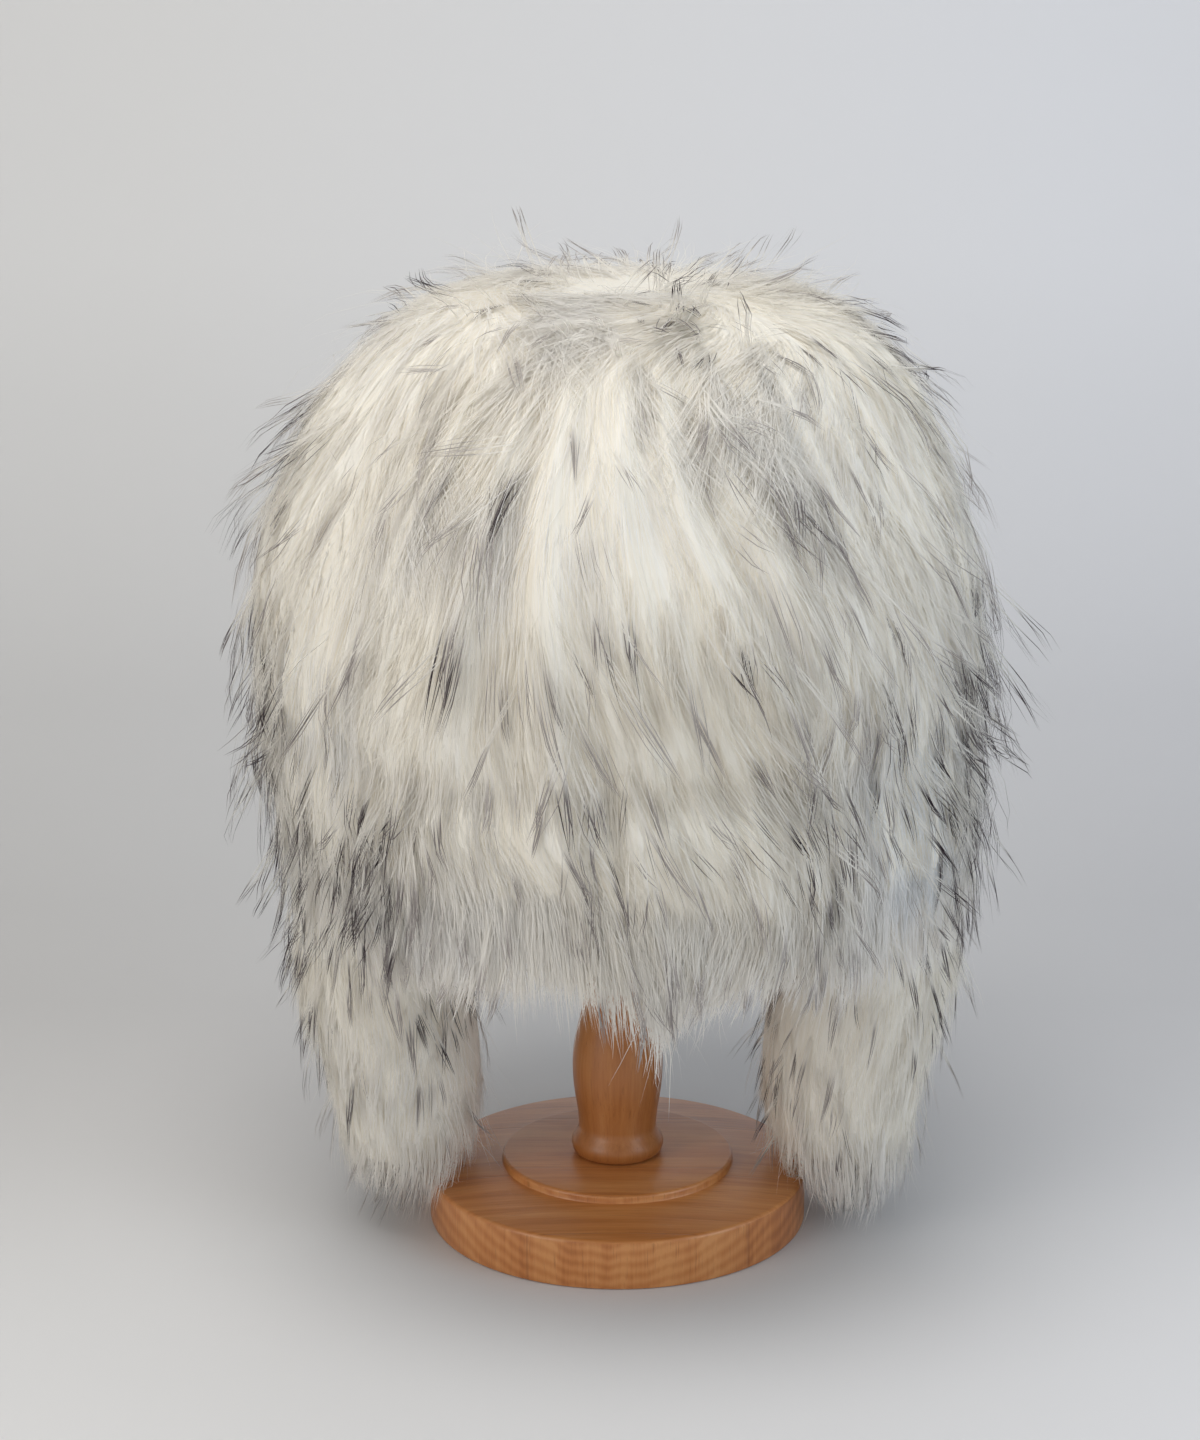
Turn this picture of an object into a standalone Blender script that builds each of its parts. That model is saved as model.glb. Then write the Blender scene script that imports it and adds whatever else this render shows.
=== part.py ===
"""Long-pile fur aviator hat on a turned wooden stand.

+Z is up, the hat's front faces -Y, and the origin is the centre of the stand's underside.
Sizes below are millimetres; the mesh is scaled to metres when an object is made.
"""

import math
import random
from collections import namedtuple

import bmesh
import bpy
from mathutils import Vector

MM = 0.001
GAP = 0.3  # clearance between pieces that rest on each other
UP = Vector((0, 0, 1))

# Stand
BASE_RADIUS = 75.0
BASE_HEIGHT = 20.0
STEP_RADIUS = 46.0
STEP_HEIGHT = 6.0
EDGE_ROUND = 1.8
BASE_SIDES = 56
POST_SIDES = 24
HEAD_RADIUS = 55.0  # the domed block that the crown sits on
HEAD_HEIGHT = 42.0
HEAD_FOOT = 8.0  # straight rim under the dome
DOME_SEAT = 1.4  # the dome meets the crown a little way off its axis, so its own top stays lower
STEP_TOP = BASE_HEIGHT + STEP_HEIGHT

# Crown
CLOTH = 3.0  # fur fabric's backing
GORE_ANGLE = 90.0  # four gores: front, left, back and right
CROWN_TOP = 336.0
SIDE_EDGE = 168.0  # the crown's lower edge over the ears
BACK_EDGE_DROP = 16.0  # the nape hangs this much lower
DROP_START = 0.4  # where the drop starts and is complete, as shares of the head behind the ear line
DROP_END = 0.7

# Locks: a face of the pile is drawn out to a waist, then to a tip
Lock = namedtuple("Lock", "away along sway")
CROWN_LOCK = Lock(24.0, 30.0, 0.4)  # sway is a share of the lock's width
BAND_LOCK = Lock(24.0, 27.0, 0.4)
FLAP_LOCK = Lock(12.0, 18.0, 0.15)
FLAP_END_LOCK = Lock(18.0, 0.0, 0.0)
WAIST = 0.7
LOCK_VARIATION = 0.25
ROOT_SCATTER = 0.22  # how far a lock's corners stray, as a share of its own width and height
SEAM_SHARE = 0.3  # how much of that scatter remains beside a seam, where tips don't stray
PARTING = 0.3  # pile right of the front's middle leans outwards by this share of its fall

Section = namedtuple("Section", "height half_width half_length sides pile drop")
CROWN = [
    # the cloth's outline at each height, the pile's depth over it and how far the pile sags there
    Section(329.0, 33.0, 38.0, 20, 35.0, 0.0),
    Section(313.0, 59.0, 69.0, 40, 38.0, 1.0),
    Section(290.0, 75.0, 88.0, 40, 38.0, 2.0),
    Section(263.0, 83.5, 98.0, 40, 37.0, 3.0),
    Section(235.0, 87.0, 102.0, 40, 34.0, 5.0),
    Section(208.0, 88.0, 103.0, 40, 33.0, 10.0),
    Section(188.0, 87.5, 102.5, 40, 34.0, 12.0),
    Section(SIDE_EDGE, 86.5, 101.5, 40, 33.0, 15.0),
]
TOP_PILE = 30.0
FULL_GORE = len(CROWN)  # over the ears the pile runs to the edge
SHORT_GORE = 6  # front and back gores stop above the brow and nape flaps

FlapRow = namedtuple("FlapRow", "height half_span half_thick shift")
EAR_FLAP = [
    # half_span runs round the head, half_thick away from it, shift moves the row outwards
    FlapRow(SIDE_EDGE - GAP, 38.0, 1.4, 0.0),
    FlapRow(159.0, 42.0, 9.0, 0.5),
    FlapRow(149.0, 46.0, 17.0, 2.0),
    FlapRow(133.0, 49.0, 24.0, 3.0),
    FlapRow(111.0, 50.0, 28.0, 2.0),
    FlapRow(87.0, 49.0, 29.0, 0.5),
    FlapRow(62.0, 44.0, 26.0, -1.0),
    FlapRow(43.0, 35.0, 20.0, 2.0),
    FlapRow(33.0, 21.0, 11.0, 5.0),
]
FLAP_SIDES = 14
FLAP_SQUARENESS = 2.4  # superellipse exponent of a flap's section
BARE_FLAP_ROWS = 2  # under the crown's pile the flap carries no locks

BandRow = namedtuple("BandRow", "height pile drop")
BROW_FLAP = [
    BandRow(206.0, 31.0, 14.0),
    BandRow(186.0, 35.0, 15.0),
    BandRow(SIDE_EDGE, 35.0, 20.0),
]
NAPE_FLAP = [
    BandRow(206.0, 31.0, 14.0),
    BandRow(180.0, 34.0, 21.0),
    BandRow(SIDE_EDGE - BACK_EDGE_DROP, 32.0, 36.0),
]

TurnedRow = namedtuple("TurnedRow", "height radius")
POST_FOOT = [
    # rounded foot of the turned post
    TurnedRow(STEP_TOP + GAP, 15.5),
    TurnedRow(27.5, 17.6),
    TurnedRow(30.0, 18.3),
    TurnedRow(33.0, 17.6),
]
POST_BODY = [
    # waist, bulge and taper, then a plain rod inside the hat
    TurnedRow(38.0, 15.4),
    TurnedRow(44.0, 15.9),
    TurnedRow(54.0, 17.4),
    TurnedRow(64.0, 17.9),
    TurnedRow(73.0, 17.1),
    TurnedRow(83.0, 14.9),
    TurnedRow(92.0, 13.0),
    TurnedRow(104.0, 11.4),
    TurnedRow(120.0, 10.5),
]
ROD_RADIUS = 10.5

rng = random.Random(5)


def clear_scene():
    for obj in list(bpy.data.objects):
        bpy.data.objects.remove(obj)


def material(name, colour, roughness):
    made = bpy.data.materials.new(name)
    made.use_nodes = True
    shader = made.node_tree.nodes["Principled BSDF"]
    shader.inputs["Base Color"].default_value = (*colour, 1)
    shader.inputs["Roughness"].default_value = roughness
    shader.inputs["Metallic"].default_value = 0.0
    return made


def finish(name, bm, look, smooth_angle=35):
    """One named object in metres from a bmesh in millimetres."""
    bmesh.ops.scale(bm, vec=(MM, MM, MM), verts=bm.verts)
    mesh = bpy.data.meshes.new(name)
    bm.to_mesh(mesh)
    bm.free()
    mesh.materials.append(look)
    mesh.shade_smooth()
    mesh.set_sharp_from_angle(angle=math.radians(smooth_angle))
    obj = bpy.data.objects.new(name, mesh)
    bpy.context.scene.collection.objects.link(obj)
    return obj


def skin_between(bm, upper, lower):
    """Faces between two rows; the upper may be one point, or have half the spans of the lower."""
    faces = []
    spans = len(upper) - 1
    if spans == 0:
        return [bm.faces.new([upper[0], a, b]) for a, b in zip(lower, lower[1:])]
    ratio = (len(lower) - 1) // spans
    for i in range(spans):
        below = lower[i * ratio : (i + 1) * ratio + 1]
        faces.append(bm.faces.new([upper[i + 1], upper[i], *below]))
    return faces


def fitted_skin(bm, rows):
    """Triangles down through the rows, divided alike on every piece so that two skins nest."""
    for upper, lower in zip(rows, rows[1:]):
        for face in skin_between(bm, upper, lower):
            first, *others = list(face.verts)[1:] + [face.verts[0]]
            bm.faces.remove(face)
            for a, b in zip(others, others[1:]):
                bm.faces.new([first, a, b])


def loft(bm, rings):
    """A closed solid through rings of equally many points, capped at both ends."""
    loops = [[bm.verts.new(p) for p in ring] for ring in rings]
    bands = []
    for upper, lower in zip(loops, loops[1:]):
        bands.append(skin_between(bm, [*upper, upper[0]], [*lower, lower[0]]))
    caps = [bm.faces.new(loops[0]), bm.faces.new(loops[-1])]
    bmesh.ops.recalc_face_normals(bm, faces=bm.faces)
    return bands, caps


def circle(radius, height, sides):
    turn = 2 * math.pi / sides
    return [Vector((radius * math.cos(i * turn), radius * math.sin(i * turn), height)) for i in range(sides)]


def quarter_round(radius, height, size, steps=2):
    """Profile points (radius, height) of a rounded upper rim, from its side to its top."""
    points = []
    for i in range(steps + 1):
        angle = math.radians(90 * i / steps)
        points.append((radius - size * (1 - math.cos(angle)), height - size * (1 - math.sin(angle))))
    return points


def smooth_profile(rows, steps):
    """The rows' heights and radii with Catmull-Rom points put between them."""
    points = [Vector((r.height, r.radius)) for r in rows]
    padded = [2 * points[0] - points[1], *points, 2 * points[-1] - points[-2]]
    made = []
    for a, b, c, d in zip(padded, padded[1:], padded[2:], padded[3:]):
        for i in range(steps):
            t = i / steps
            curve = 2 * b + (c - a) * t + (2 * a - 5 * b + 4 * c - d) * t**2
            made.append((curve + (3 * b - a - 3 * c + d) * t**3) / 2)
    return [(p.y, p.x) for p in [*made, points[-1]]]


def turned(name, profile, sides, look):
    """A solid of revolution from (radius, height) pairs."""
    bm = bmesh.new()
    loft(bm, [circle(radius, height, sides) for radius, height in profile])
    return finish(name, bm, look)


def stand_base(look):
    """A round board with a raised step turned in its top."""
    profile = [(BASE_RADIUS - EDGE_ROUND / 2, 0.0), (BASE_RADIUS, EDGE_ROUND / 2)]
    profile += quarter_round(BASE_RADIUS, BASE_HEIGHT, EDGE_ROUND)
    profile += [(STEP_RADIUS, BASE_HEIGHT)]
    profile += quarter_round(STEP_RADIUS, STEP_TOP, EDGE_ROUND)
    return turned("stand_base", profile, BASE_SIDES, look)


def stand_post(look, top):
    profile = [(row.radius, row.height) for row in POST_FOOT]
    profile += smooth_profile(POST_BODY, 2)
    profile += [(ROD_RADIUS, top)]
    return turned("stand_post", profile, POST_SIDES, look)


def stand_head(look, top):
    """The plain domed block under the crown, a cap of a sphere over a short rim."""
    rise = HEAD_HEIGHT - HEAD_FOOT
    sphere = (HEAD_RADIUS**2 + rise**2) / (2 * rise)
    foot = top - HEAD_HEIGHT
    profile = [(HEAD_RADIUS - EDGE_ROUND, foot), (HEAD_RADIUS, foot + EDGE_ROUND)]
    widest = math.asin(HEAD_RADIUS / sphere)
    for i in range(6):
        angle = widest * (1 - i / 6)
        profile.append((sphere * math.sin(angle), top - sphere * (1 - math.cos(angle))))
    return turned("stand_head", profile, POST_SIDES, look)


def on_oval(half_width, half_length, azimuth):
    """A point of the plan's oval; azimuth 0 is the front, -Y, and 90 is +X."""
    turn = math.radians(azimuth)
    return Vector((half_width * math.sin(turn), -half_length * math.cos(turn), 0))


def oval_normal(half_width, half_length, azimuth):
    turn = math.radians(azimuth)
    return Vector((math.sin(turn) / half_width, -math.cos(turn) / half_length, 0)).normalized()


def profile_normals():
    """(outwards, upwards) parts of the cloth's normal at each crown section."""
    line = [(0.0, CROWN_TOP), *((s.half_width, s.height) for s in CROWN)]
    line.append((line[-1][0], line[-1][1] - 1))
    normals = []
    for before, after in zip(line, line[2:]):
        run = Vector((after[0] - before[0], before[1] - after[1])).normalized()
        normals.append((run.y, run.x))
    return normals


NORMALS = profile_normals()


def edge_drop(azimuth):
    """How far the cloth's lower edge hangs below the ear line, nothing until behind the ears."""
    behind = -math.cos(math.radians(azimuth))
    share = (behind - DROP_START) / (DROP_END - DROP_START)
    return BACK_EDGE_DROP * min(1.0, max(0.0, share)) ** 2


def crown_point(index, azimuth, offset, drop=0.0):
    """A point that far off the cloth's outer face at a crown section."""
    section = CROWN[index]
    outwards, upwards = NORMALS[index]
    if index == FULL_GORE - 1:
        drop += edge_drop(azimuth)
    plan = on_oval(section.half_width + offset * outwards, section.half_length + offset * outwards, azimuth)
    return plan + UP * (section.height + offset * upwards - drop)


def azimuths(start, width, spans):
    return [start + width * i / spans for i in range(spans + 1)]


def crown_shell(look):
    """The hollow dome of fur fabric's backing, open below."""
    bm = bmesh.new()
    layers = []
    for offset in (0.0, -CLOTH):
        rows = [[bm.verts.new(UP * (CROWN_TOP + offset))]]
        for index, section in enumerate(CROWN):
            ring = []
            for azimuth in azimuths(-GORE_ANGLE / 2, 360, section.sides)[:-1]:
                ring.append(bm.verts.new(crown_point(index, azimuth, offset)))
            rows.append(ring)
        layers.append(rows)
    for rows in layers:
        fitted_skin(bm, [rows[0], *([*row, row[0]] for row in rows[1:])])
    outer, inner = layers[0][-1], layers[1][-1]
    skin_between(bm, [*outer, outer[0]], [*inner, inner[0]])
    bmesh.ops.recalc_face_normals(bm, faces=bm.faces)
    return finish("crown_shell", bm, look)


def grow_lock(bm, face, lock, parting=0.0):
    """One lock: the face is drawn out to a waist, then to a tip that leans along the pile."""
    away, along, sway = lock
    normal = face.normal.copy()
    fall = (normal * normal.z - UP).normalized() if abs(normal.z) < 0.999 else Vector()
    side = UP.cross(normal)
    size = 1 + rng.uniform(-LOCK_VARIATION, LOCK_VARIATION)
    parted = parting * along * max(0.0, side.x) * max(0.0, normal.x)
    drift = side * (rng.uniform(-sway, sway) * math.sqrt(face.calc_area()) + parted)
    drawn = bmesh.ops.extrude_discrete_faces(bm, faces=[face])["faces"][0]
    centre = drawn.calc_center_median()
    waist = centre + normal * away * 0.55 + fall * along * 0.3 + drift * 0.3
    for vert in drawn.verts:
        vert.co = waist + (vert.co - centre) * WAIST
    tip = bmesh.ops.poke(bm, faces=[drawn])["verts"][0]
    tip.co = centre + (normal * away + fall * along) * size + drift


def shifted_from_seam(point, azimuth, start, end):
    """A gore's edge points stand back from the seam, so that neighbouring gores don't touch."""
    if azimuth in (start, end):
        inwards = 1 if azimuth == start else -1
        turn = math.radians(azimuth)
        return point + Vector((math.cos(turn), math.sin(turn), 0)) * inwards * GAP
    return point


def scatter(rows):
    """Moves each point inside the pile's face a little, so that its locks don't stand in ranks."""
    moved = [list(row) for row in rows]
    for upper, row, lower, made in zip(rows, rows[1:], rows[2:], moved[1:]):
        if len(upper) == 1:
            continue  # the small faces round the crown's middle stay even
        rise = (upper[0] - lower[0]).length / 2
        for i in range(1, len(row) - 1):
            across = (row[i + 1] - row[i - 1]) / 2
            reach = ROOT_SCATTER * (SEAM_SHARE if i in (1, len(row) - 2) else 1)
            made[i] = row[i] + across * rng.uniform(-reach, reach) + UP * rise * rng.uniform(-reach, reach)
    return moved


def pile_solid(name, look, outer_rows, inner_rows, lock):
    """Pile with its locks fused to one body: rows run from top to bottom, points across a gore."""
    bm = bmesh.new()
    outer = [[bm.verts.new(p) for p in row] for row in scatter(outer_rows)]
    inner = [[bm.verts.new(p) for p in row] for row in inner_rows]
    lock_faces = [skin_between(bm, upper, lower) for upper, lower in zip(outer, outer[1:])]
    fitted_skin(bm, inner)
    for i in range(len(outer) - 1):
        for end in (0, -1):
            corners = [outer[i][end], outer[i + 1][end], inner[i + 1][end], inner[i][end]]
            bm.faces.new(corners)
    skin_between(bm, outer[-1], inner[-1])
    if len(outer[0]) > 1:
        skin_between(bm, outer[0], inner[0])
    bmesh.ops.recalc_face_normals(bm, faces=bm.faces)
    for row in lock_faces:
        for face in row:
            by_seam = face in (row[0], row[-1])
            level = abs(face.normal.z)
            away, along = lock.away * (1 - 0.3 * level), lock.along * (1 - 0.5 * level)
            sway, parting = (0.0, 0.0) if by_seam else (lock.sway, PARTING)
            grow_lock(bm, face, Lock(away, along, sway), parting)
    return finish(name, bm, look)


def crown_gore(name, look, centre, sections):
    """One quarter of the crown's pile, from the top down to the given section."""
    start, end = centre - GORE_ANGLE / 2, centre + GORE_ANGLE / 2
    stand_back = on_oval(1, 1, centre) * GAP * math.sqrt(2)
    outer = [[UP * (CROWN_TOP + TOP_PILE) + stand_back]]
    inner = [[UP * (CROWN_TOP + GAP) + stand_back]]
    for index, section in enumerate(CROWN[:sections]):
        spans = round(section.sides * GORE_ANGLE / 360)
        for rows, offset, drop in ((outer, section.pile, section.drop), (inner, GAP, 0.0)):
            row = []
            for azimuth in azimuths(start, GORE_ANGLE, spans):
                point = crown_point(index, azimuth, offset, drop)
                row.append(shifted_from_seam(point, azimuth, start, end))
            rows.append(row)
    return pile_solid(name, look, outer, inner, CROWN_LOCK)


def band_flap(name, look, centre, rows):
    """A furred flap along the crown's lower edge, at the brow or the nape."""
    start, end = centre - GORE_ANGLE / 2, centre + GORE_ANGLE / 2
    spans = round(CROWN[-1].sides * GORE_ANGLE / 360)
    edge = CROWN[FULL_GORE - 3]
    outer, inner = [], []
    for row in rows:
        for made, offset, drop in ((outer, row.pile, row.drop), (inner, GAP, 0.0)):
            points = []
            for azimuth in azimuths(start, GORE_ANGLE, spans):
                plan = on_oval(edge.half_width + offset, edge.half_length + offset, azimuth)
                points.append(shifted_from_seam(plan + UP * (row.height - drop), azimuth, start, end))
            made.append(points)
    return pile_solid(name, look, outer, inner, BAND_LOCK)


def flap_ring(row, side):
    """One level section of an ear flap, bent round the head; side is 1 at +X and -1 at -X."""
    head = CROWN[-1]
    half_width, half_length = head.half_width - CLOTH / 2, head.half_length - CLOTH / 2
    power = 2 / FLAP_SQUARENESS
    ring = []
    for i in range(FLAP_SIDES):
        angle = 2 * math.pi * (i + 0.5) / FLAP_SIDES
        across, out = math.cos(angle), math.sin(angle)
        span = row.half_span * math.copysign(abs(across) ** power, across)
        thick = row.half_thick * math.copysign(abs(out) ** power, out) + row.shift
        azimuth = 90 + math.degrees(span / half_length)
        point = on_oval(half_width, half_length, azimuth) + oval_normal(half_width, half_length, azimuth) * thick
        ring.append(Vector((point.x * side, point.y, row.height)))
    return ring


def ear_flap(name, look, side):
    """A padded flap with pile on both faces, hanging from the crown's edge over the ear."""
    bm = bmesh.new()
    bands, caps = loft(bm, [flap_ring(row, side) for row in EAR_FLAP])
    for band in bands[BARE_FLAP_ROWS:]:
        for face in band:
            grow_lock(bm, face, FLAP_LOCK)
    grow_lock(bm, caps[1], FLAP_END_LOCK)
    return finish(name, bm, look)


def main():
    clear_scene()
    wood = material("oiled_wood", (0.42, 0.22, 0.10), 0.42)
    cloth = material("backing_cloth", (0.72, 0.68, 0.60), 0.9)
    fur = material("white_fur", (0.82, 0.79, 0.73), 0.8)
    head_top = CROWN_TOP - CLOTH - GAP - DOME_SEAT
    stand_base(wood)
    stand_post(wood, head_top - HEAD_HEIGHT - GAP)
    stand_head(wood, head_top)
    crown_shell(cloth)
    crown_gore("crown_pile_front", fur, 0, SHORT_GORE)
    crown_gore("crown_pile_left", fur, 90, FULL_GORE)
    crown_gore("crown_pile_back", fur, 180, SHORT_GORE)
    crown_gore("crown_pile_right", fur, 270, FULL_GORE)
    band_flap("brow_flap", fur, 0, BROW_FLAP)
    band_flap("nape_flap", fur, 180, NAPE_FLAP)
    ear_flap("ear_flap_left", fur, 1)
    ear_flap("ear_flap_right", fur, -1)


main()
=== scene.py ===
import math

import bpy
import numpy as np
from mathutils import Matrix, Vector, kdtree


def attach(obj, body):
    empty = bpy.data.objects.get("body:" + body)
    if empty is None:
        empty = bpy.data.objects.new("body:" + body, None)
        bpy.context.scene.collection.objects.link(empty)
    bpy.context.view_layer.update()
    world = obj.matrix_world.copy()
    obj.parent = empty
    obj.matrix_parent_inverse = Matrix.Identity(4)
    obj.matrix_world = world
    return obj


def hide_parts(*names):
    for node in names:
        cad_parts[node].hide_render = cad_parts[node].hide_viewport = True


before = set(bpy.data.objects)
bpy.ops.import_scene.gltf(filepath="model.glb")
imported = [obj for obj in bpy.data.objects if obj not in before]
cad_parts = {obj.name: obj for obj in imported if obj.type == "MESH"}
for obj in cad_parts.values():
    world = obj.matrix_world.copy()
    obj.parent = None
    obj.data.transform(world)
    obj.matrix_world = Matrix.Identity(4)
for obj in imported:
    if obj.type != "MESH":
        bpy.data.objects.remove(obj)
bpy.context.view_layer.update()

mm = 0.001
print("frame loaded")


def addObject(name, data):
    made = bpy.data.objects.new(name, data)
    bpy.context.scene.collection.objects.link(made)
    return made


def makeMesh(name, points, faces):
    mesh = bpy.data.meshes.new(name)
    mesh.from_pydata([tuple(p) for p in points], [], [tuple(f) for f in faces])
    mesh.update()
    mesh.shade_smooth()
    return addObject(name, mesh)


def ringFaces(rows, columns):
    # quads between closed rings of points, from the first ring to the last
    faces = []
    for i in range(rows - 1):
        for j in range(columns):
            k, m = i * columns + j, i * columns + (j + 1) % columns
            faces.append((k, k + columns, m + columns, m))
    return faces


def addNumbers(mesh, name, values, kind="FLOAT"):
    made = mesh.attributes.new(name, kind, "POINT")
    field = "value" if kind == "FLOAT" else "vector"
    made.data.foreach_set(field, values.astype(np.float32).reshape(-1))


def feed(tree, node, inputs):
    # gives each socket its value, or links it to another node's socket
    for key, value in inputs.items():
        socket = node.inputs[key]
        if isinstance(value, bpy.types.NodeSocket):
            tree.links.new(value, socket)
        elif socket.type == "RGBA":
            socket.default_value = (*value, 1)
        else:
            socket.default_value = value


def addNode(tree, kind, inputs=None, **settings):
    node = tree.nodes.new(kind)
    for key, value in settings.items():
        setattr(node, key, value)
    feed(tree, node, inputs or {})
    return node


def mathNode(tree, kind, *values):
    return addNode(tree, "ShaderNodeMath", dict(enumerate(values)), operation=kind).outputs[0]


def mapRange(tree, value, fromMin, fromMax, toMin=0.0, toMax=1.0, **settings):
    inputs = {"Value": value, "From Min": fromMin, "From Max": fromMax, "To Min": toMin, "To Max": toMax}
    return addNode(tree, "ShaderNodeMapRange", inputs, **settings).outputs["Result"]


def mixColour(tree, factor, first, second, blend="MIX"):
    node = addNode(tree, "ShaderNodeMix", data_type="RGBA", blend_type=blend)
    feed(tree, node, {"Factor": factor, "A": first, "B": second})
    return node.outputs["Result"]


def ramp(tree, value, stops):
    node = addNode(tree, "ShaderNodeValToRGB", {"Fac": value})
    for _ in stops[2:]:
        node.color_ramp.elements.new(0.5)
    for element, (position, colour) in zip(node.color_ramp.elements, stops):
        element.position = position
        element.color = (*colour, 1)
    return node.outputs["Color"]


def noise(tree, place, detail, roughness=0.5, scale=1.0):
    inputs = {"Vector": place, "Scale": scale, "Detail": detail, "Roughness": roughness}
    return addNode(tree, "ShaderNodeTexNoise", inputs).outputs["Fac"]


def attribute(tree, name, output="Fac"):
    return addNode(tree, "ShaderNodeAttribute", attribute_name=name).outputs[output]


def splitUp(tree, place):
    return addNode(tree, "ShaderNodeSeparateXYZ", {"Vector": place}).outputs


def relief(tree, height, strength, distance):
    # distance: how deep the relief is, in metres
    inputs = {"Height": height, "Strength": strength, "Distance": distance}
    return addNode(tree, "ShaderNodeBump", inputs).outputs["Normal"]


def newMaterial(name, inputs):
    # inputs: plain values of the shader itself
    made = bpy.data.materials.new(name)
    made.use_nodes = True
    tree = made.node_tree
    tree.nodes.clear()
    shader = addNode(tree, "ShaderNodeBsdfPrincipled", inputs)
    out = addNode(tree, "ShaderNodeOutputMaterial", {"Surface": shader.outputs["BSDF"]})
    return made, tree, shader, out


def newGroup(name, inputs, outputs):
    group = bpy.data.node_groups.new(name, "ShaderNodeTree")
    for label, kind, value in inputs:
        made = group.interface.new_socket(label, in_out="INPUT", socket_type=kind)
        if value is not None:
            made.default_value = value
    for label, kind in outputs:
        group.interface.new_socket(label, in_out="OUTPUT", socket_type=kind)
    return group, group.nodes.new("NodeGroupInput").outputs, group.nodes.new("NodeGroupOutput")


view = {
    "place": (-0.007, -1.202, 0.532),
    "pitch": 15.25,  # degrees down
    "lens": 50.0,
    "sensor": 22.3,  # along the picture's long side
}


def makeCamera():
    data = bpy.data.cameras.new("camera")
    data.lens = view["lens"]
    data.sensor_width = view["sensor"]
    camera = addObject("camera", data)
    camera.location = view["place"]
    camera.rotation_euler = (math.radians(90 - view["pitch"]), 0, 0)
    bpy.context.scene.camera = camera


studio = {
    "floorRoughness": 0.75,
    "floorSheen": 0.25,
    "floorEdge": -3.0,  # metres in front of the object
    "wallStart": 0.80,  # metres behind the object where the floor starts to turn up
    "bend": 0.60,
    "wallHeight": 2.2,
    "halfWidth": 2.6,
    "worldStrength": 0.34,
    "worldColour": (0.93, 0.96, 1.0),
    # painted light and shade on the sweep: how pale it is at a place, counted in metres back along the floor
    # and then up the wall; paler in front, darkest just behind the object where its shadow falls, paler
    # again up the wall
    "paintedShadeReach": (-0.5, 2.0),
    "sweepPaintedShade": [
        (-0.19, 0.73), (-0.04, 0.665), (0.06, 0.62), (0.24, 0.55), (0.39, 0.555), (0.66, 0.61),
        (0.92, 0.655), (1.13, 0.695), (1.30, 0.725), (1.50, 0.775), (1.78, 0.79),
    ],
    # painted light: its colour at the left and at the right, warmer at the left and cooler at the right as
    # the lamps on either side tint it, and how far aside they are reached
    "paintedTintReach": 0.35,
    "sweepPaintedLightTints": ((1.0, 0.982, 0.958), (1.025, 1.03, 1.06)),
}


def makeStage():
    values = {"Roughness": studio["floorRoughness"], "Specular IOR Level": studio["floorSheen"]}
    made, tree, shader, _ = newMaterial("paleSweep", values)
    parts = splitUp(tree, addNode(tree, "ShaderNodeNewGeometry").outputs["Position"])
    near, far = studio["paintedShadeReach"]
    # painted light and shade: paler in front, darkest just behind the object where its shadow falls, paler
    # again up the wall
    back = mapRange(tree, mathNode(tree, "ADD", parts["Y"], parts["Z"]), near, far)
    stops = [((along - near) / (far - near), (tone,) * 3) for along, tone in studio["sweepPaintedShade"]]
    # painted light: warmer at the left and cooler at the right, as the lamps on either side tint it
    aside = mapRange(tree, parts["X"], -studio["paintedTintReach"], studio["paintedTintReach"])
    paintedTints = mixColour(tree, aside, *studio["sweepPaintedLightTints"])
    feed(tree, shader, {"Base Color": mixColour(tree, 1.0, ramp(tree, back, stops), paintedTints, "MULTIPLY")})
    line = [(studio["floorEdge"], 0.0), (studio["wallStart"], 0.0)]
    for i in range(1, 13):
        turn = math.radians(90 * i / 12)
        y = studio["wallStart"] + studio["bend"] * math.sin(turn)
        line.append((y, studio["bend"] * (1 - math.cos(turn))))
    line.append((line[-1][0], studio["wallHeight"]))
    points = [(side * studio["halfWidth"], y, z) for y, z in line for side in (-1, 1)]
    faces = [(2 * i, 2 * i + 1, 2 * i + 3, 2 * i + 2) for i in range(len(line) - 1)]
    sweep = makeMesh("sweep", points, faces)
    sweep.data.materials.append(made)


lamps = {
    # name: place, what it is aimed at, size in metres, watts, colour
    "overheadSoft": ((-0.15, -0.46, 1.75), (0, 0, 0.18), 1.05, 13.0, (1.0, 0.975, 0.94)),
    "windowLeft": ((-1.6, -1.4, 0.85), (0, 0, 0.18), 1.3, 11.8, (1.0, 0.965, 0.91)),
    "fillRight": ((1.8, -1.0, 0.9), (0, 0, 0.18), 1.4, 11.6, (0.77, 0.885, 1.0)),
    "wallWash": ((0.0, 0.90, 1.60), (0, 1.4, 0.30), 1.0, 2.4, (0.97, 0.98, 1.0)),
}


def makeLights():
    for name, (place, target, size, watts, colour) in lamps.items():
        data = bpy.data.lights.new(name, "AREA")
        data.shape = "DISK"
        data.size = size
        data.energy = watts
        data.color = colour
        lamp = addObject(name, data)
        lamp.location = place
        aim = Vector(target) - Vector(place)
        lamp.rotation_euler = aim.to_track_quat("-Z", "Y").to_euler()
    world = bpy.data.worlds.new("studioAir")
    world.use_nodes = True
    sky = world.node_tree.nodes["Background"]
    sky.inputs["Color"].default_value = (*studio["worldColour"], 1)
    sky.inputs["Strength"].default_value = studio["worldStrength"]
    bpy.context.scene.world = world
    bpy.context.scene.view_settings.view_transform = "Standard"
    bpy.context.scene.view_settings.look = "None"


makeCamera()
makeStage()
makeLights()
print("camera, floor and light made")


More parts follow.
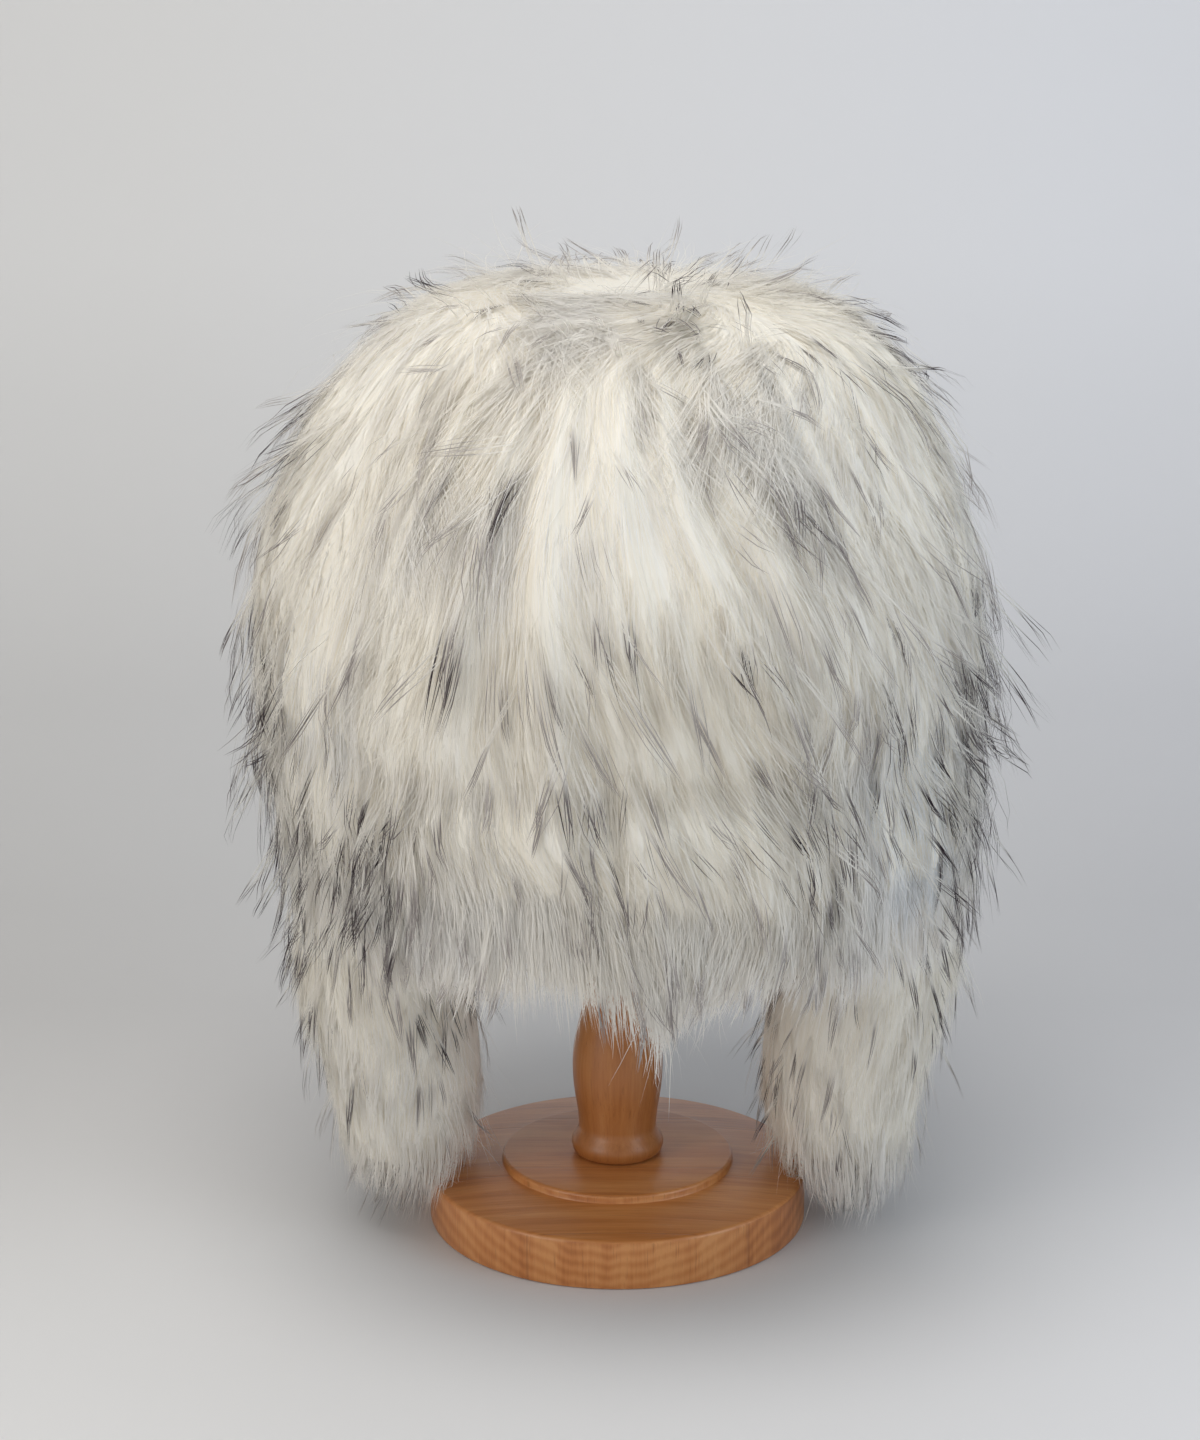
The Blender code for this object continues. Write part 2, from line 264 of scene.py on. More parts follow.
def makeStrandTint():
    # colour of one strand from its root to its tip, with painted shade that makes it a little darker and
    # warmer near the root, deep in the pile; every number comes with the strand
    group, source, sink = newGroup(
        "strandTint",
        [("Root Painted Shade", "NodeSocketFloat", 0.86), ("Tip Start", "NodeSocketFloat", 0.44)],
        [("Color", "NodeSocketColor")],
    )
    along, tone, dark = (attribute(group, name) for name in ("along", "tone", "dark"))
    pale = ramp(group, tone, [
        (0.0, (0.80, 0.74, 0.66)), (0.3, (0.89, 0.85, 0.77)), (0.6, (0.94, 0.915, 0.865)),
        (0.85, (0.96, 0.945, 0.92)), (1.0, (0.92, 0.93, 0.935)),
    ])
    # painted shade at the root: the pale colour a little darker and warmer, fading out by 0.6 of the way to
    # the tip
    rootPaintedShade = mixColour(group, 1.0, pale, (0.97, 0.955, 0.91), "MULTIPLY")
    fade = mapRange(group, along, 0.0, 0.6, source["Root Painted Shade"], interpolation_type="SMOOTHSTEP")
    shaded = mixColour(group, fade, rootPaintedShade, pale)
    tipEnd = mathNode(group, "ADD", source["Tip Start"], 0.22)
    tip = mapRange(group, along, source["Tip Start"], tipEnd, interpolation_type="SMOOTHSTEP")
    tipColour = ramp(group, dark, [
        (0.0, (0.45, 0.38, 0.34)), (0.5, (0.15, 0.10, 0.115)), (1.0, (0.030, 0.016, 0.024)),
    ])
    stain = mathNode(group, "MULTIPLY", tip, dark)
    feed(group, sink, {"Color": mixColour(group, stain, shaded, tipColour)})
    return group


strandTint = makeStrandTint()


def makeFurMaterial():
    made, tree, shader, out = newMaterial("longPile", {"Roughness": 0.62, "Specular IOR Level": 0.3})
    tint = addNode(tree, "ShaderNodeGroup", node_tree=strandTint).outputs["Color"]
    feed(tree, shader, {"Base Color": tint})
    through = addNode(tree, "ShaderNodeBsdfTranslucent", {"Color": tint}).outputs["BSDF"]
    # Fac is the share of light that goes on through a hair
    blend = addNode(tree, "ShaderNodeMixShader", {"Fac": 0.42, 1: shader.outputs["BSDF"], 2: through})
    feed(tree, out, {"Surface": blend.outputs["Shader"]})
    return made


furMaterial = makeFurMaterial()


# The coat's outline just inside the tips of the fur, down to its rolled lower edge:
# height, half width, half length, mm.
coatRows = np.array([
    [372.5, 0.0, 0.0],
    [371.0, 42.0, 46.0],
    [365.5, 72.0, 80.0],
    [353.0, 92.0, 105.0],
    [332.0, 108.5, 124.0],
    [307.0, 122.0, 138.0],
    [280.0, 132.0, 148.0],
    [250.0, 136.0, 151.0],
    [220.0, 136.5, 151.0],
    [194.0, 135.5, 149.5],
    [173.0, 134.0, 147.0],
    [158.0, 126.0, 139.5],
    [151.0, 110.0, 124.0],
    [157.0, 95.0, 110.0],
    [172.0, 90.5, 105.5],
])

# Where the strands fall past its lower edge: the same rows, but going on downwards.
fallRows = np.array([
    *coatRows[:10],
    [170.0, 133.5, 147.5],
    [146.0, 131.0, 144.0],
    [124.0, 129.0, 142.0],
    [102.0, 125.0, 138.0],
    [80.0, 117.0, 132.0],
])

# An ear flap's padding: height, half its span round the head, half its thickness, how far it stands out, mm.
flapRows = np.array([
    [172.0, 30.0, 3.0, 1.0],
    [163.0, 38.0, 14.0, 2.0],
    [148.0, 43.0, 25.0, 7.0],
    [130.0, 46.0, 31.0, 9.0],
    [108.0, 47.0, 33.0, 7.0],
    [84.0, 46.0, 31.0, 2.5],
    [62.0, 44.0, 29.0, -1.0],
    [44.0, 40.0, 26.0, -1.0],
    [33.0, 30.0, 19.0, 0.0],
    [30.0, 3.0, 2.0, 1.0],
])

shape = {
    "backDrop": 31.0,  # how much lower the fur hangs behind than in front, mm
    "browLift": 9.0,  # how much higher its edge is just left of the brow's middle
    "unevenEdge": 4.5,  # how far its edge goes up and down at the sides and behind
    "seam": 0.585,  # how far down the crown the brow and nape bands start
    "edge": 0.755,  # how far down the last roots stand
    "lowShift": 4.0,  # how far the fur's lower edge sits to +X, mm
    "highShift": 3.0,  # and its crown
    "tuck": 3.2,  # how far the short coat stands back low down at the sides and behind
    # where the coat swells or sinks beside its seams: azimuth, how far in mm, how wide in degrees
    "swells": [(-35, 5.0, 7), (25, 4.0, 7), (-50, -7.0, 9), (150, 3.0, 8), (-150, 3.0, 8)],
    "lockRidge": 1.7,
    "wispRidge": 0.7,
    "flapWallWidth": 85.0,  # the head's half width and half length where the flaps hang
    "flapWallLength": 100.0,
    "flapSquareness": 2.4,
}


def catmull(rows, at):
    # smooth values between table rows; at runs from 0 to 1 down the table
    at = np.clip(at, 0, 1) * (len(rows) - 1)
    low = np.clip(at.astype(int), 0, len(rows) - 2)
    t = (at - low)[..., None]
    last = len(rows) - 1
    a, b = rows[np.clip(low - 1, 0, last)], rows[low]
    c, d = rows[np.clip(low + 1, 0, last)], rows[np.clip(low + 2, 0, last)]
    return 0.5 * (2 * b + (c - a) * t + (2 * a - 5 * b + 4 * c - d) * t**2 + (3 * b - a - 3 * c + d) * t**3)


def bump(value, centre, width):
    return np.exp(-(((value - centre) / width) ** 2))


def step(value, start, end):
    t = np.clip((value - start) / (end - start), 0, 1)
    return t * t * (3 - 2 * t)


def signedAzimuth(azimuth):
    return (azimuth + 180) % 360 - 180


def combed(s, azimuth):
    # the azimuth at which a combed line through this place left the top, in degrees
    signed = signedAzimuth(azimuth)
    front = step(np.cos(np.radians(signed)), -0.1, 0.5)
    apart = 20 * step(signed, -24, 36) * step(-signed, -95, -50)
    apart = apart - 16 * step(-signed, 22, 62) * step(signed, -95, -62)
    wander = 3.5 * np.sin(np.radians(signed) * 5 + 0.9) + 2.2 * np.sin(np.radians(signed) * 9 + 3.6)
    return azimuth - apart * front * step(s, 0.2, 0.62) - wander * step(s, 0.1, 0.7)


def makeRidges(seed, lowest, highest, waves):
    # ridges that run along the combed lines and wax and wane on their way down
    rng = np.random.default_rng(seed)
    around = rng.integers(lowest, highest, waves)
    phase = rng.uniform(0, 2 * math.pi, waves)
    drift = rng.uniform(-9, 9, waves)

    def at(s, line):
        turn = np.radians(line)[..., None]
        return np.sin(turn * around + phase + s[..., None] * drift).sum(-1) / math.sqrt(waves)

    return at


lockRidges = makeRidges(3, 34, 62, 8)
wispRidges = makeRidges(4, 90, 150, 10)


def crownShape(rows, tuck=0.0):
    def point(s, azimuth):
        # s runs from the crown's top to its lower edge; azimuth 0 is the front and 90 is +X
        height, halfWidth, halfLength = np.moveaxis(catmull(rows, s), -1, 0)
        turn = np.radians(azimuth)
        signed = signedAzimuth(azimuth)
        middle = bump(s, 0.37, 0.19)
        swell = sum(far * bump(signed, centre, wide) for centre, far, wide in shape["swells"])
        swell += 1.5 * np.sin(turn * 5 + 1.0 + s * 4)
        swell = swell * middle
        swell -= 5.0 * bump(s, shape["seam"], 0.03) * np.clip(np.cos(turn), 0, 1)
        swell -= tuck * step(-np.cos(turn), -0.75, 0.0) * step(s, 0.57, 0.68)
        line = combed(s, azimuth)
        fine = shape["lockRidge"] * lockRidges(s, line) + shape["wispRidge"] * wispRidges(s * 1.7, line)
        swell += fine * step(s, 0.06, 0.3) * step(-s, -0.80, -0.72)
        inside = step(-s, -0.97, -0.86)
        behind = step(-np.cos(turn), 0.3, 0.85)
        height = height + shape["browLift"] * bump(signed, -13, 9) * step(s, 0.6, 0.72) * inside
        height = height - shape["backDrop"] * behind * step(s, 0.62, 0.8) * inside
        waves = np.sin(turn * 7 + 1.3) + 0.8 * np.sin(turn * 13 + 0.4) + 0.7 * np.sin(turn * 23 + 2.1)
        rearward = step(-np.cos(turn), -0.35, 0.35)
        height = height + shape["unevenEdge"] * waves * rearward * step(s, 0.58, 0.72) * inside
        aside = shape["lowShift"] * step(s, 0.6, 0.72) * inside
        aside = aside + shape["highShift"] * step(-s, -0.4, -0.2)
        x = (halfWidth + swell) * np.sin(turn) + aside
        y = -(halfLength + swell) * np.cos(turn)
        return np.stack([x, y, height], -1)

    return point


coatPoint = crownShape(coatRows, shape["tuck"])
fallPoint = crownShape(fallRows)


def flapPoint(side):
    def point(s, angle):
        height, span, thick, out = np.moveaxis(catmull(flapRows, s), -1, 0)
        turn = np.radians(angle)
        power = 2 / shape["flapSquareness"]
        across, away = np.cos(turn), np.sin(turn)
        along = span * np.sign(across) * np.abs(across) ** power
        fuller = 1 if side > 0 else 0  # the flap at +X is the fuller one
        off = (thick + 2 * fuller) * np.sign(away) * np.abs(away) ** power + out + 5 * fuller
        azimuth = math.pi / 2 + along / shape["flapWallLength"]
        width, length = shape["flapWallWidth"], shape["flapWallLength"]
        outX, outY = np.sin(azimuth) / width, -np.cos(azimuth) / length
        size = np.hypot(outX, outY)
        x = width * np.sin(azimuth) + off * outX / size
        y = -length * np.cos(azimuth) + off * outY / size
        return np.stack([x * side, y, height], -1)

    return point


def unit(v):
    return v / (np.linalg.norm(v, axis=-1, keepdims=True) + 1e-9)


def surfaceFrame(point, s, a, outwardSign=1, ds=0.005, da=0.8):
    # place, outward normal, downward and sideways tangents of a surface point(s, a)
    here = point(s, a)
    down = unit(point(np.clip(s + ds, 0, 1), a) - point(np.clip(s - ds, 0, 1), a))
    side = unit(point(s, a + da) - point(s, a - da))
    return here, unit(np.cross(down, side)) * outwardSign, down, side


def noiseField(seed, scale, waves=7):
    # a smooth seeded field over space, about -1 to 1; scale is in waves per mm
    rng = np.random.default_rng(seed)
    directions = unit(rng.normal(size=(waves, 3))) * scale * rng.uniform(0.6, 1.6, (waves, 1)) * 2 * math.pi
    phases = rng.uniform(0, 2 * math.pi, waves)

    def at(points):
        return np.sin(points @ directions.T + phases).sum(-1) / math.sqrt(waves) * 1.2

    return at


swirlField = noiseField(11, 0.012)
fineSwirl = noiseField(14, 0.035)
liftField = noiseField(15, 0.014)
raggedField = noiseField(16, 0.05)
toneField = noiseField(13, 0.009)
darkField = noiseField(12, 0.012)

# Where dark tips gather on the front: x, height, reach in mm, and how thickly.
darkPatches = np.array([
    [-138, 215, 18, 1.4], [-126, 158, 24, 1.2], [-96, 180, 24, 1.0], [-98, 142, 22, 0.6],
    [-126, 112, 16, 1.3], [-115, 75, 14, 0.8], [-110, 42, 12, 0.7], [-58, 88, 15, 1.4],
    [139, 205, 32, 1.8], [135, 162, 16, 1.3], [72, 187, 24, 0.6], [-46, 306, 8, 0.9],
    [-63, 241, 7, 1.1], [-60, 203, 10, 0.9], [-4, 252, 8, 0.7], [52, 248, 9, 1.2],
    [70, 298, 10, 0.6], [36, 318, 9, 0.5], [-8, 200, 10, 0.8], [8, 188, 10, 0.8],
    [31, 193, 8, 0.9], [-82, 372, 12, 1.2], [-48, 378, 12, 1.0], [26, 376, 24, 1.0],
    [108, 348, 25, 1.6], [-145, 276, 9, 1.5], [-130, 304, 16, 1.2], [120, 118, 14, 1.2],
    [124, 85, 14, 0.9], [52, 112, 10, 1.2], [50, 80, 10, 1.1], [52, 50, 11, 0.9],
    [86, 102, 10, 1.0], [88, 32, 12, 0.9],
])


def darkness(tips):
    # how thickly dark tips stand at a place: sparse all over, in drifts at the sides and low down
    x, y, z = tips.T
    aside = step(np.hypot(x, y / 1.12), 105, 150)
    spread = 0.05 + 0.12 * aside + 0.05 * step(-z, -240, -150)
    found = spread * np.clip(1 + 0.6 * darkField(tips), 0.2, 3)
    for px, pz, reach, weight in darkPatches:
        found += weight * np.exp(-(((x - px) ** 2 + (z - pz) ** 2) / reach**2)) * step(-y, -40, 10)
    return found


strand = {
    "lockShare": 0.012,  # locks for each strand
    "tuftShare": 0.08,  # fine tufts for each strand
    "lockHold": 0.35,
    "tuftHold": 0.55,
    "flyaways": 0.08,
    "width": 0.36,  # mm
    "curl": 1.2,  # mm
    "ragged": 0.12,  # how unevenly long the coat is
    "edgeTrim": 0.42,  # how much shorter it is at its lower edge
    "trimLess": 0.8,  # the part of that which is left out behind
    "sink": 2.5,  # mm that roots stand inside the coat
    "settle": 0.72,  # how far a strand lies down again towards its tip
    "flySettle": 0.35,
    "swirl": 0.16,  # how far locks and tufts swirl aside, radians
    "fineSwirl": 0.10,
    "looseTop": 3.2,  # how much more they swirl on the crown's top
    "hang": 0.9,  # how much longer the lock in the brow's middle hangs
    "flyWild": 4.0,  # how far tips stray, mm
    "wild": 0.8,
    "paleTone": 0.64,  # places on the strands' colour ramp
    "wispTone": 0.62,
    "shadedCream": 0.34,  # how far the front's middle is moved towards cream: painted shade of its deeper valleys, partly the creamier under-fur
    "paintedCoolLight": 0.14,  # painted light: how far the wearer's left is moved towards a cooler white, as the cool lamp there tints it
    "boardReach": 77.5,  # mm from the axis within which strands lie on the board
    "boardTop": 21.5,  # the lowest they come there, and elsewhere
    "floorTop": 2.0,
    "tallest": 396.0,  # mm above the floor where the hairs on top bend over
    "bendOver": 0.7,
}
segments = 4
stations = np.linspace(0, 1, segments + 1)


def scatterRoots(rng, point, count, sRange, aRange):
    # roots spread evenly over the area of the patch
    tries = count * 4
    s = rng.uniform(*sRange, tries)
    a = rng.uniform(*aRange, tries)
    spanS = point(np.clip(s + 0.002, 0, 1), a) - point(np.clip(s - 0.002, 0, 1), a)
    spanA = point(s, a + 0.5) - point(s, a - 0.5)
    area = np.linalg.norm(np.cross(spanS, spanA), axis=-1)
    kept = np.argsort(rng.random(tries) ** (1 / (area / area.mean() + 1e-6)))[::-1][:count]
    kept = rng.permutation(kept)
    return s[kept], a[kept]


def nearest(points, centres):
    tree = kdtree.KDTree(len(centres))
    for index, centre in enumerate(centres):
        tree.insert(centre, index)
    tree.balance()
    return np.array([tree.find(p)[1] for p in points])


def riseAlong(lift, settle):
    t = stations[None]
    return lift[:, None] * (t - settle[:, None] * t**2)


def crownPaths(s, a, length, lift, settle, turn):
    # strands that follow the coat down its combed lines; turn leans them to one side, in radians
    here, normal, _, side = surfaceFrame(fallPoint, s, a)
    ds = 0.01
    perS = np.linalg.norm(fallPoint(s + ds, a) - fallPoint(s - ds, a), axis=-1) / (2 * ds)
    perA = np.linalg.norm(side, axis=-1) * np.hypot(here[:, 0], here[:, 1]) * math.pi / 180 + 0.05
    slope = -(combed(s + ds, a) - combed(s - ds, a)) / (2 * ds)
    slope = slope / ((combed(s, a + 0.5) - combed(s, a - 0.5)) + 1e-3)
    sideStep = np.clip(slope * perA / perS, -0.8, 0.8) + np.tan(np.clip(turn, -1.2, 1.2))
    scale = length / np.sqrt(1 + sideStep**2)
    t = stations[None]
    reach = 0.15 * t + 1.15 * t - 0.3 * t**2
    sAlong = np.clip(s[:, None] + (scale / perS)[:, None] * reach, 0.002, 1)
    aAlong = a[:, None] + np.clip((scale * sideStep / perA)[:, None], -70, 70) * reach
    base = fallPoint(sAlong, aAlong)
    rise = riseAlong(lift * length, settle)[..., None] - strand["sink"]
    _, tipNormal, _, _ = surfaceFrame(fallPoint, sAlong[:, -1], aAlong[:, -1])
    blend = t[..., None]
    normals = unit(normal[:, None] * (1 - blend) + tipNormal[:, None] * blend)
    return base + normals * rise, normals


def flapPaths(point, side):
    def paths(s, a, length, lift, settle, turn):
        here, normal, down, across = surfaceFrame(point, s, a, -side)
        fall = unit(down * 0.6 + np.array([0, 0, -0.6]) + across * np.tan(turn)[:, None])
        t = stations[None, :, None]
        rise = riseAlong(lift * length, settle)[..., None] - strand["sink"]
        base = here[:, None] + fall[:, None] * length[:, None, None] * (1.1 * t - 0.1 * t**2)
        base[..., 2] -= 0.05 * length[:, None] * stations[None] ** 2
        normals = np.repeat(normal[:, None], segments + 1, 1)
        return base + normals * rise, normals

    return paths


def gathered(path, guide, hold):
    t = stations[None, :, None]
    return path + (guide - path) * np.reshape(hold, (-1, 1, 1)) * t**1.3


def ribbonMesh(name, paths, outward, width, tone, dark, rng):
    # one tapered ribbon for each path, joined to one mesh with its numbers as attributes
    count = len(paths)
    tangent = unit(np.gradient(paths, axis=1))
    across = unit(np.cross(tangent, outward))
    turned = unit(np.cross(tangent, across))
    angle = rng.normal(0, 0.3, count)[:, None, None]
    across = across * np.cos(angle) + turned * np.sin(angle)
    stout, fine = np.array([[0.6, 0.85, 1.0, 0.75]]), np.array([[0.8, 1.0, 0.85, 0.55]])
    taper = np.where(dark[:, None] > 0, stout, fine)
    half = width[:, None, None] / 2 * taper[..., None]
    left = paths[:, :-1] - across[:, :-1] * half
    right = paths[:, :-1] + across[:, :-1] * half
    pairs = np.stack([left, right], 2).reshape(count, -1, 3)
    verts = np.concatenate([pairs, paths[:, -1:]], 1)
    each = verts.shape[1]
    quads = np.array([[2 * i, 2 * i + 1, 2 * i + 3, 2 * i + 2] for i in range(segments - 1)])
    base = (np.arange(count) * each)[:, None]
    quadCorners = (base[:, :, None] + quads[None]).reshape(count, -1)
    tipCorners = base + np.array([[2 * segments - 2, 2 * segments - 1, 2 * segments]])
    corners = np.concatenate([quadCorners, tipCorners], 1).reshape(-1)
    sizes = np.tile(np.array([4] * (segments - 1) + [3]), count)
    starts = np.concatenate([[0], np.cumsum(sizes)[:-1]])
    mesh = bpy.data.meshes.new(name)
    mesh.vertices.add(count * each)
    mesh.vertices.foreach_set("co", (verts * mm).astype(np.float32).reshape(-1))
    mesh.loops.add(len(corners))
    mesh.loops.foreach_set("vertex_index", corners.astype(np.int32))
    mesh.polygons.add(len(sizes))
    mesh.polygons.foreach_set("loop_start", starts.astype(np.int32))
    mesh.polygons.foreach_set("loop_total", sizes.astype(np.int32))
    toneStep, darkStep = np.round(np.clip(tone, 0, 1) * 15), np.round(np.clip(dark, 0, 1) * 15)
    along = np.concatenate([np.repeat(stations[:-1], 2), [1.0]])
    addNumbers(mesh, "along", np.tile(along, count))
    addNumbers(mesh, "tone", np.repeat(toneStep / 15, each))
    addNumbers(mesh, "dark", np.repeat(darkStep / 15, each))
    mesh.update(calc_edges=True)
    mesh.shade_smooth()
    flat = np.cross(across, tangent)
    flat *= np.sign((flat * outward).sum(-1, keepdims=True))
    facing = unit(flat * 0.08 + outward * 0.92)
    lean = across * 0.05
    normals = np.stack([facing[:, :-1] - lean[:, :-1], facing[:, :-1] + lean[:, :-1]], 2)
    normals = normals.reshape(count, -1, 3)
    normals = unit(np.concatenate([normals, facing[:, -1:]], 1)).reshape(-1, 3)
    mesh.normals_split_custom_set_from_vertices(normals.astype(np.float32))
    # every strand of one tone and darkness shares a cell of the bake map, with the root at the cell's foot
    acrossCell = np.concatenate([np.tile([0.15, 0.85], segments), [0.5]])
    u = (toneStep[:, None] + acrossCell[None]) / 16
    v = (darkStep[:, None] + 0.06 + 0.88 * along[None]) / 16
    places = np.stack([u, v], -1).reshape(-1, 2)
    layer = mesh.uv_layers.new(name="OFBake")
    layer.uv.foreach_set("vector", places[corners].astype(np.float32).reshape(-1))
    return mesh


# Dark-tipped hairs stand in wisps: share of the wisps, hairs in each, their width and the spread of their
# roots in mm, how tightly they gather, how far they lean aside and how steeply they stand in radians, how
# long they are beside the coat, and how far apart in mm their tips stay.
wispKinds = [
    {"share": 1.0, "hairs": 7, "width": 0.44, "spread": 1.6, "hold": (0.7, 0.97), "lean": 0.12,
     "stand": (0.10, 0.26), "long": 1.2, "apart": 7.0},
    {"share": 1.2, "hairs": 3, "width": 0.32, "spread": 2.2, "hold": (0.3, 0.8), "lean": 0.18,
     "stand": (0.12, 0.34), "long": 1.0, "apart": 5.0},
    {"share": 0.7, "hairs": 6, "width": 0.38, "spread": 1.8, "hold": (0.5, 0.95), "lean": 0.22,
     "stand": (0.30, 0.68), "long": 0.9, "apart": 7.0},
]


def growWisps(rng, point, pathsOf, sRange, aRange, wisps, kind, length):
    # dark-tipped hairs where the table above wants them, as paths, outward directions and darkness
    tries = wisps * 12
    s, a = scatterRoots(rng, point, tries, sRange, aRange)
    here = point(s, a)
    onCrown = pathsOf is crownPaths
    ontop = step(-s, -0.36, -0.10) * onCrown
    stand = rng.uniform(*kind["stand"], tries) * (1 + 0.5 * ontop)
    settle = 0.35
    reach = length * kind["long"] * rng.uniform(0.75, 1.12, tries) * np.cos(stand)
    reach = reach * (1 - 0.35 * ontop)
    reach = reach * (1 - 0.25 * step(s, 0.62, shape["edge"]) * onCrown)
    rise = np.tan(stand) / (1 - settle)
    turn = rng.normal(0, kind["lean"], tries) * (1 + 1.6 * ontop) + 0.2 * swirlField(here)
    tips = pathsOf(s, a, reach, rise, np.full(tries, settle), turn)[0][:, -1]
    wanted = np.argsort(rng.random(tries) ** (1 / (darkness(tips) + 0.25 * ontop + 1e-3)))[::-1]
    picked = []
    for index in wanted:
        if len(picked) == wisps:
            break
        if not picked or np.linalg.norm(tips[picked] - tips[index], axis=1).min() > kind["apart"]:
            picked.append(index)
    wisps = len(picked)
    hairs = kind["hairs"]
    owner = np.repeat(picked, hairs)
    more = wisps * hairs
    perDegree = np.hypot(here[:, 0], here[:, 1])[owner] * math.pi / 180 + 0.3
    rootS = np.clip(s[owner] + rng.normal(0, kind["spread"] / 400, more), 0.002, 1)
    rootA = a[owner] + rng.normal(0, kind["spread"], more) / (perDegree if onCrown else 1.0)
    sway = rng.normal(0, 0.04, more)
    hairReach = reach[owner] * rng.uniform(0.82, 1.12, more)
    hairRise = rise[owner] * rng.uniform(0.8, 1.2, more)
    settled = np.full(more, settle)
    paths, outward = pathsOf(rootS, rootA, hairReach, hairRise, settled, turn[owner] + sway)
    curl = np.sin(stations * rng.uniform(3.0, 5.5, (more, 1)))[..., None]
    curl = curl * rng.normal(size=(more, 1, 3)) * 0.3
    bend = np.sin(stations * rng.uniform(2.0, 4.5, (wisps, 1)))[..., None]
    curl = curl + np.repeat(bend * rng.normal(size=(wisps, 1, 3)) * 0.9, hairs, 0)
    guide = paths[::hairs].repeat(hairs, 0)
    swing = np.repeat(rng.normal(size=(wisps, 3)), hairs, 0)
    guide = guide + swing[:, None] * 2.0 * stations[None, :, None] ** 2
    paths = gathered(paths, guide, rng.uniform(*kind["hold"], more)) + curl
    deep = 0.62 + 0.38 * step(darkness(tips[picked]), 0.15, 0.8)
    dark = np.repeat(deep * rng.uniform(0.85, 1.05, wisps), hairs) * rng.uniform(0.85, 1.1, more)
    return paths, outward, dark


def growFur(name, seed, point, pathsOf, sRange, aRange, count, wisps, length, lift):
    # a piece's pale strands, gathered to locks and tufts, with its dark-tipped wisps, as one mesh
    rng = np.random.default_rng(seed)
    s, a = scatterRoots(rng, point, count, sRange, aRange)
    here = point(s, a)
    fly = rng.random(count) < strand["flyaways"]
    reach = length * rng.uniform(0.7, 1.12, count)
    reach = reach * (1 + 0.08 * liftField(here) + strand["ragged"] * raggedField(here))
    onCrown = pathsOf is crownPaths
    ontop = step(-s, -0.32, -0.06) * onCrown
    low = step(s, 0.60, shape["edge"]) * onCrown
    low = low * (1 - strand["trimLess"] * step(-np.cos(np.radians(a)), -0.35, 0.35))
    reach = reach * (1 - strand["edgeTrim"] * rng.uniform(0.3, 1.2, count) * low)
    hang = bump(here[:, 0], 6, 12) * step(-here[:, 1], 60, 100) * step(-here[:, 2], -200, -175)
    reach = reach * (1 + strand["hang"] * hang * rng.random(count) ** 2)
    rise = lift * rng.uniform(0.6, 1.3, count) * (1 + 0.1 * liftField(here) + 0.9 * ontop)
    rise = rise * np.where(fly, rng.uniform(1.2, 2.4, count), 1)
    settle = np.where(fly, strand["flySettle"], strand["settle"])
    loose = strand["swirl"] * swirlField(here) + strand["fineSwirl"] * fineSwirl(here)
    loose = loose * (1 + strand["looseTop"] * ontop)
    turn = loose + rng.normal(0, 0.10, count) * np.where(fly, 2.2, 1)
    own, outward = pathsOf(s, a, reach, rise, settle, turn)
    lockCount, tuftCount = int(count * strand["lockShare"]), int(count * strand["tuftShare"])
    tuftOf = nearest(here, here[:tuftCount])
    lockOf = nearest(here[:tuftCount], here[:lockCount])
    tufts = gathered(own[:tuftCount], own[:lockCount][lockOf], strand["lockHold"])
    swing = rng.normal(size=(tuftCount, 3))
    wave = np.sin(stations * 4.2)[None, :, None] * strand["curl"]
    tufts = tufts + swing[:, None] * (wave + 1.5 * stations[None, :, None] ** 2)
    hold = np.where(fly, 0.15, strand["tuftHold"] * rng.uniform(0.5, 1.3, count))
    paths = gathered(own, tufts[tuftOf], np.clip(hold, 0, 0.9))
    wild = rng.normal(size=(count, 3)) * np.where(fly, strand["flyWild"], strand["wild"])[:, None]
    paths += wild[:, None] * stations[None, :, None] ** 2
    # painted shade: the front's middle darker and creamier, as its deeper valleys are shaded, and partly the
    # creamier under-fur showing there
    shadedCream = bump(here[:, 0], 22, 48) * bump(here[:, 2], 262, 45) * step(-here[:, 1], 60, 110)
    tone = strand["paleTone"] - strand["shadedCream"] * shadedCream
    # painted light: the crown's lower part and the brow a little paler and cooler, against the grey shade
    # they take on low down; the tone field is the fur's own random tone
    tone = tone + 0.10 * toneField(here) + 0.07 * onCrown * step(s, 0.5, 0.7)
    # painted light: the wearer's left, at +X, cooler and whiter, as the cool lamp on that side tints it
    tone = tone + strand["paintedCoolLight"] * onCrown * step(here[:, 0], 50, 120)
    tone = tone + rng.normal(0, 0.035, tuftCount)[tuftOf] + rng.normal(0, 0.03, count)
    dark = np.zeros(count)
    width = strand["width"] * rng.uniform(0.7, 1.25, count) * np.where(fly, 0.55, 1.0)
    # dark-tipped hairs stand proud of the pale coat, most in tight wisps and some astray
    for kind in wispKinds:
        wanted = round(wisps * kind["share"])
        extra = growWisps(rng, point, pathsOf, sRange, aRange, wanted, kind, length)
        more = len(extra[0])
        paths = np.concatenate([paths, extra[0]])
        outward = np.concatenate([outward, extra[1]])
        dark = np.concatenate([dark, extra[2]])
        width = np.concatenate([width, kind["width"] * rng.uniform(0.7, 1.2, more)])
        tone = np.concatenate([tone, np.full(more, strand["wispTone"])])
    tall = np.maximum(paths[..., 2] - strand["tallest"], 0)
    paths[..., 2] -= strand["bendOver"] * tall
    onBoard = np.hypot(paths[..., 0], paths[..., 1]) < strand["boardReach"]
    paths[..., 2] = np.maximum(paths[..., 2], np.where(onBoard, strand["boardTop"], strand["floorTop"]))
    mesh = ribbonMesh(name, paths, outward, width, tone, dark, rng)
    mesh.materials.append(furMaterial)
    made = addObject(name, mesh)
    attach(made, "root")
    print(name, count, "pale strands and", len(paths) - count, "dark-tipped")
    return made


